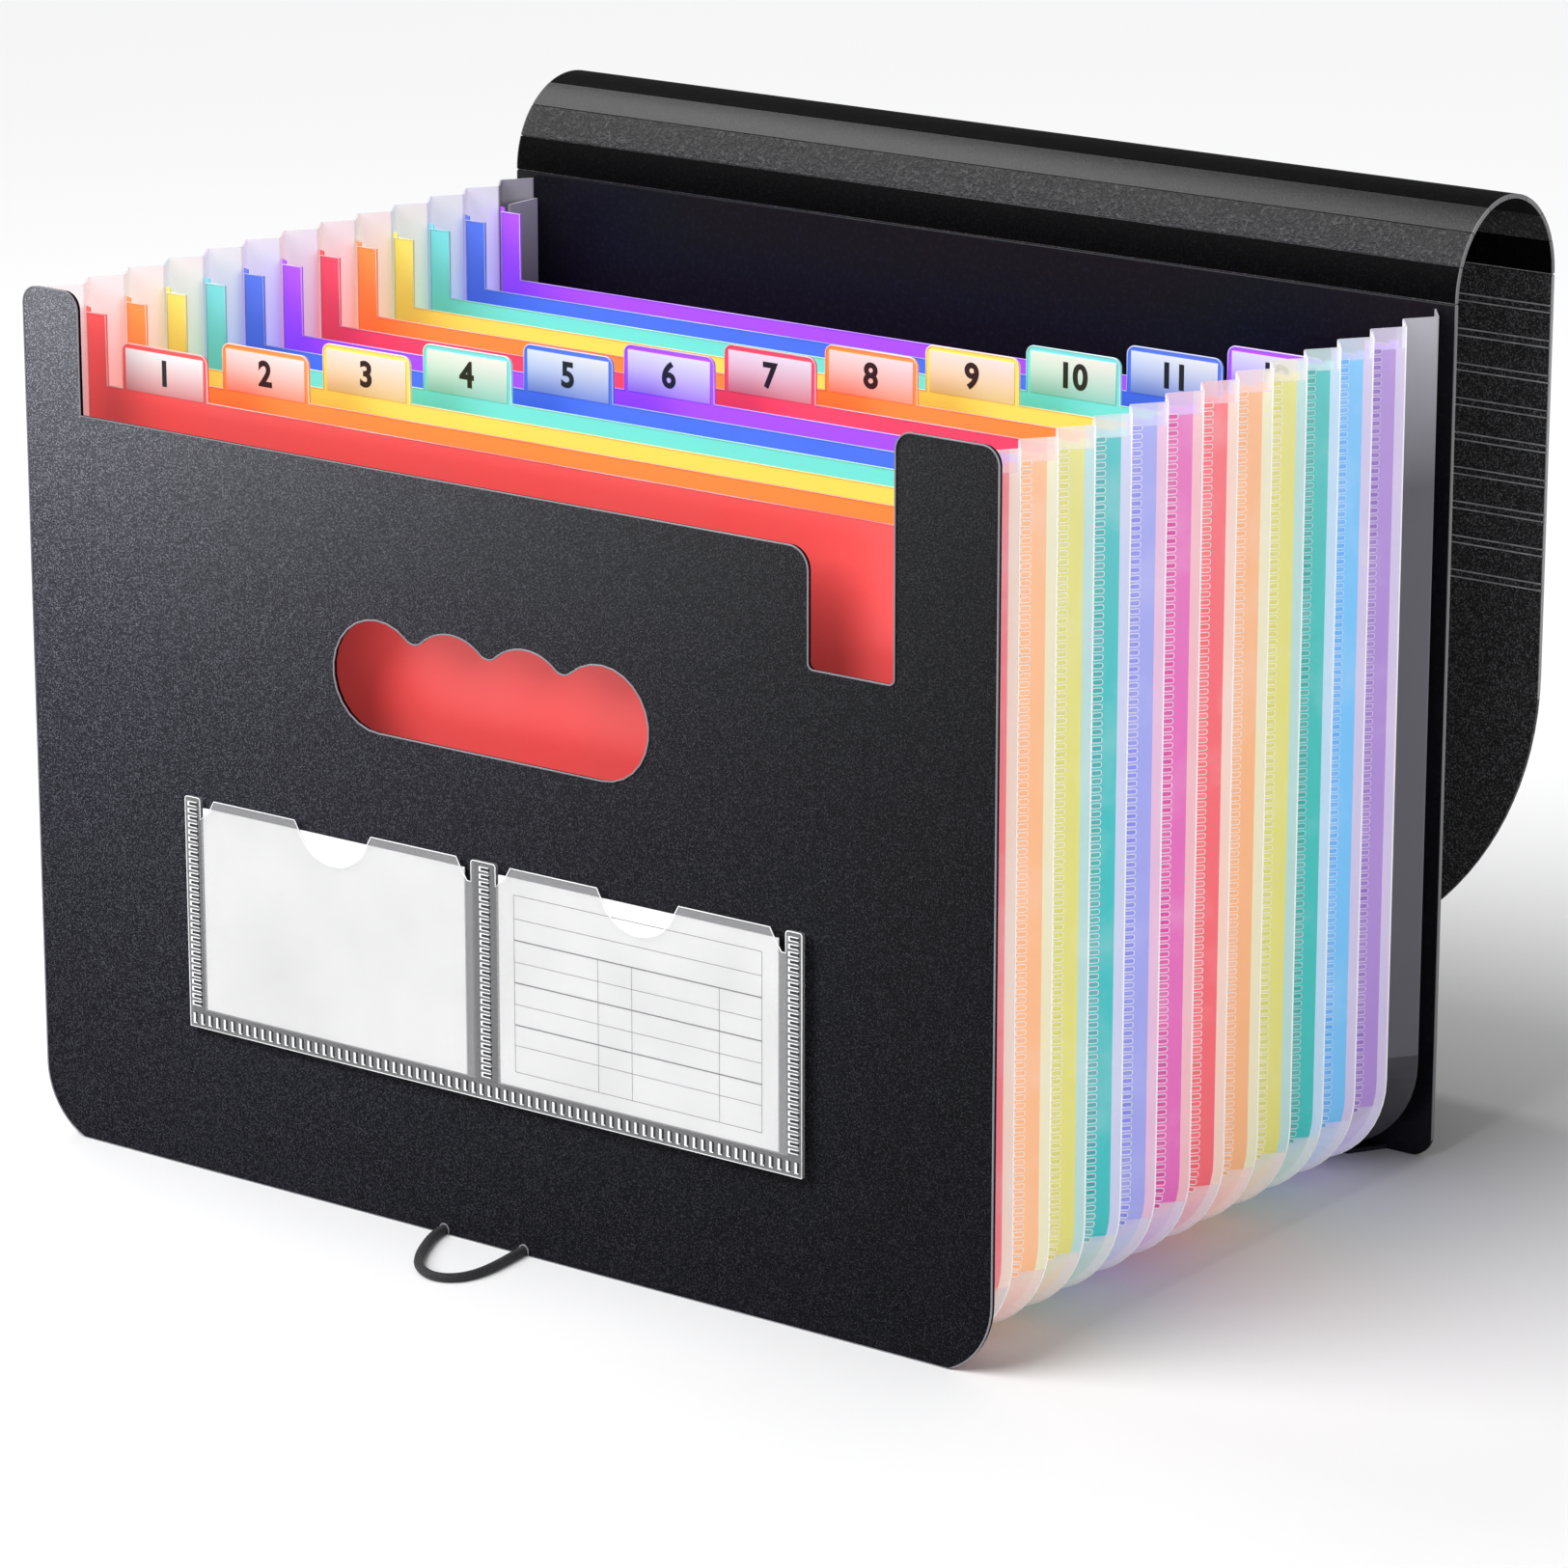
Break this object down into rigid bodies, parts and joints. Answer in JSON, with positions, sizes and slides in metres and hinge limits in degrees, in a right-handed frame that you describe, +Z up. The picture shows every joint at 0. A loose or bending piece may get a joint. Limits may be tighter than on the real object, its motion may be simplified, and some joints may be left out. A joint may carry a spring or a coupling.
{
  "type": "accordion file folder",
  "caption": "Expanding file folder with tabbed colour dividers in a frosted pleated bellows, a scored roll-over flap, a card pocket and an elastic closing loop.",
  "frame": {"origin": "on the floor, in the middle of the folder's box without the elastic loop", "axes": "+X to the right as seen from the front, +Y from the front cover to the back cover, +Z up"},
  "size_m": [0.33, 0.2999, 0.2721],
  "materials": {
    "cover_black": "fine sand grain, satin",
    "frosted_sheet": "frosted, translucent",
    "divider_red": "smooth satin",
    "divider_orange": "smooth satin",
    "divider_yellow": "smooth satin",
    "divider_teal": "smooth satin",
    "divider_blue": "smooth satin",
    "divider_purple": "smooth satin",
    "label_paper": "coated sticker, shaded towards the tab's colour",
    "clear_film": "clear, glossy",
    "card_paper": "smooth white card",
    "elastic_cord": "braided, satin",
    "black_moulding": "moulded, semi-gloss"
  },
  "bodies": {
    "back": {"back_cover": "cover_black", "bellows_gusset": "frosted_sheet", "flanges_red": "divider_red", "flanges_orange": "divider_orange", "flanges_yellow": "divider_yellow", "flanges_teal": "divider_teal", "flanges_blue": "divider_blue", "flanges_purple": "divider_purple"},
    "front": {"front_cover": "cover_black", "card_pocket": "clear_film", "loop_anchor": "black_moulding", "elastic_loop": "elastic_cord"},
    "divider_01": {"divider_01": "divider_red", "tab_label_01": "label_paper"},
    "divider_02": {"divider_02": "divider_orange", "tab_label_02": "label_paper"},
    "divider_03": {"divider_03": "divider_yellow", "tab_label_03": "label_paper"},
    "divider_04": {"divider_04": "divider_teal", "tab_label_04": "label_paper"},
    "divider_05": {"divider_05": "divider_blue", "tab_label_05": "label_paper"},
    "divider_06": {"divider_06": "divider_purple", "tab_label_06": "label_paper"},
    "divider_07": {"divider_07": "divider_red", "tab_label_07": "label_paper"},
    "divider_08": {"divider_08": "divider_orange", "tab_label_08": "label_paper"},
    "divider_09": {"divider_09": "divider_yellow", "tab_label_09": "label_paper"},
    "divider_10": {"divider_10": "divider_teal", "tab_label_10": "label_paper"},
    "divider_11": {"divider_11": "divider_blue", "tab_label_11": "label_paper"},
    "divider_12": {"divider_12": "divider_purple", "tab_label_12": "label_paper"},
    "flap_strip_1": {"flap_strip_1": "cover_black"},
    "flap_strip_2": {"flap_strip_2": "cover_black"},
    "flap_strip_3": {"flap_strip_3": "cover_black"},
    "flap_strip_4": {"flap_strip_4": "cover_black"},
    "flap_strip_5": {"flap_strip_5": "cover_black"},
    "flap_strip_6": {"flap_strip_6": "cover_black"},
    "flap_strip_7": {"flap_strip_7": "cover_black"},
    "flap_strip_8": {"flap_strip_8": "cover_black"},
    "flap_end": {"flap_panel": "cover_black", "closure_button": "black_moulding", "button_washer": "black_moulding"},
    "card_left": {"index_card_left": "card_paper"},
    "card_right": {"index_card_right": "card_paper"}
  },
  "joints": [
    {"name": "bellows_slide", "type": "slide", "parent": "back", "child": "front", "axis": [0, 1, 0], "range_m": [0, 0.175], "deforming": ["bellows_gusset", "flanges_red", "flanges_orange", "flanges_yellow", "flanges_teal", "flanges_blue", "flanges_purple"]},
    {"name": "divider_01_slide", "type": "slide", "parent": "back", "child": "divider_01", "axis": [0, 1, 0], "range_m": [0, 0.16334]},
    {"name": "divider_02_slide", "type": "slide", "parent": "back", "child": "divider_02", "axis": [0, 1, 0], "range_m": [0, 0.14988]},
    {"name": "divider_03_slide", "type": "slide", "parent": "back", "child": "divider_03", "axis": [0, 1, 0], "range_m": [0, 0.13642]},
    {"name": "divider_04_slide", "type": "slide", "parent": "back", "child": "divider_04", "axis": [0, 1, 0], "range_m": [0, 0.12295]},
    {"name": "divider_05_slide", "type": "slide", "parent": "back", "child": "divider_05", "axis": [0, 1, 0], "range_m": [0, 0.10949]},
    {"name": "divider_06_slide", "type": "slide", "parent": "back", "child": "divider_06", "axis": [0, 1, 0], "range_m": [0, 0.09603]},
    {"name": "divider_07_slide", "type": "slide", "parent": "back", "child": "divider_07", "axis": [0, 1, 0], "range_m": [0, 0.08257]},
    {"name": "divider_08_slide", "type": "slide", "parent": "back", "child": "divider_08", "axis": [0, 1, 0], "range_m": [0, 0.06911]},
    {"name": "divider_09_slide", "type": "slide", "parent": "back", "child": "divider_09", "axis": [0, 1, 0], "range_m": [0, 0.05565]},
    {"name": "divider_10_slide", "type": "slide", "parent": "back", "child": "divider_10", "axis": [0, 1, 0], "range_m": [0, 0.04218]},
    {"name": "divider_11_slide", "type": "slide", "parent": "back", "child": "divider_11", "axis": [0, 1, 0], "range_m": [0, 0.02872]},
    {"name": "divider_12_slide", "type": "slide", "parent": "back", "child": "divider_12", "axis": [0, 1, 0], "range_m": [0, 0.01526]},
    {"name": "flap_hinge_0", "type": "hinge", "parent": "back", "child": "flap_strip_1", "pos_m": [0, 0.08217, 0.246], "axis": [1, 0, 0], "range_deg": [0, 71.25]},
    {"name": "flap_hinge_1", "type": "hinge", "parent": "flap_strip_1", "child": "flap_strip_2", "pos_m": [0, 0.08412, 0.25581], "axis": [1, 0, 0], "range_deg": [0, 52.5]},
    {"name": "flap_hinge_2", "type": "hinge", "parent": "flap_strip_2", "child": "flap_strip_3", "pos_m": [0, 0.08968, 0.26412], "axis": [1, 0, 0], "range_deg": [0, 22.5]},
    {"name": "flap_hinge_3", "type": "hinge", "parent": "flap_strip_3", "child": "flap_strip_4", "pos_m": [0, 0.09799, 0.26968], "axis": [1, 0, 0], "range_deg": [0, 22.5]},
    {"name": "flap_hinge_4", "type": "hinge", "parent": "flap_strip_4", "child": "flap_strip_5", "pos_m": [0, 0.1078, 0.27163], "axis": [1, 0, 0], "range_deg": [0, 22.5]},
    {"name": "flap_hinge_5", "type": "hinge", "parent": "flap_strip_5", "child": "flap_strip_6", "pos_m": [0, 0.11761, 0.26968], "axis": [1, 0, 0], "range_deg": [0, 22.5]},
    {"name": "flap_hinge_6", "type": "hinge", "parent": "flap_strip_6", "child": "flap_strip_7", "pos_m": [0, 0.12592, 0.26412], "axis": [1, 0, 0], "range_deg": [0, 22.5]},
    {"name": "flap_hinge_7", "type": "hinge", "parent": "flap_strip_7", "child": "flap_strip_8", "pos_m": [0, 0.13148, 0.25581], "axis": [1, 0, 0], "range_deg": [0, 22.5]},
    {"name": "flap_hinge_8", "type": "hinge", "parent": "flap_strip_8", "child": "flap_end", "pos_m": [0, 0.13343, 0.246], "axis": [1, 0, 0], "range_deg": [0, 11.25]},
    {"name": "card_left_slide", "type": "slide", "parent": "front", "child": "card_left", "axis": [0, 0, 1], "range_m": [0, 0.058]},
    {"name": "card_right_slide", "type": "slide", "parent": "front", "child": "card_right", "axis": [0, 0, 1], "range_m": [0, 0.058]}
  ],
  "couplings": [
    {"joint": "divider_01_slide", "follows": "bellows_slide", "ratio": 0.93336},
    {"joint": "divider_02_slide", "follows": "bellows_slide", "ratio": 0.85645},
    {"joint": "divider_03_slide", "follows": "bellows_slide", "ratio": 0.77953},
    {"joint": "divider_04_slide", "follows": "bellows_slide", "ratio": 0.70257},
    {"joint": "divider_05_slide", "follows": "bellows_slide", "ratio": 0.62565},
    {"joint": "divider_06_slide", "follows": "bellows_slide", "ratio": 0.54874},
    {"joint": "divider_07_slide", "follows": "bellows_slide", "ratio": 0.47182},
    {"joint": "divider_08_slide", "follows": "bellows_slide", "ratio": 0.39491},
    {"joint": "divider_09_slide", "follows": "bellows_slide", "ratio": 0.31799},
    {"joint": "divider_10_slide", "follows": "bellows_slide", "ratio": 0.24103},
    {"joint": "divider_11_slide", "follows": "bellows_slide", "ratio": 0.16411},
    {"joint": "divider_12_slide", "follows": "bellows_slide", "ratio": 0.087196}
  ]
}
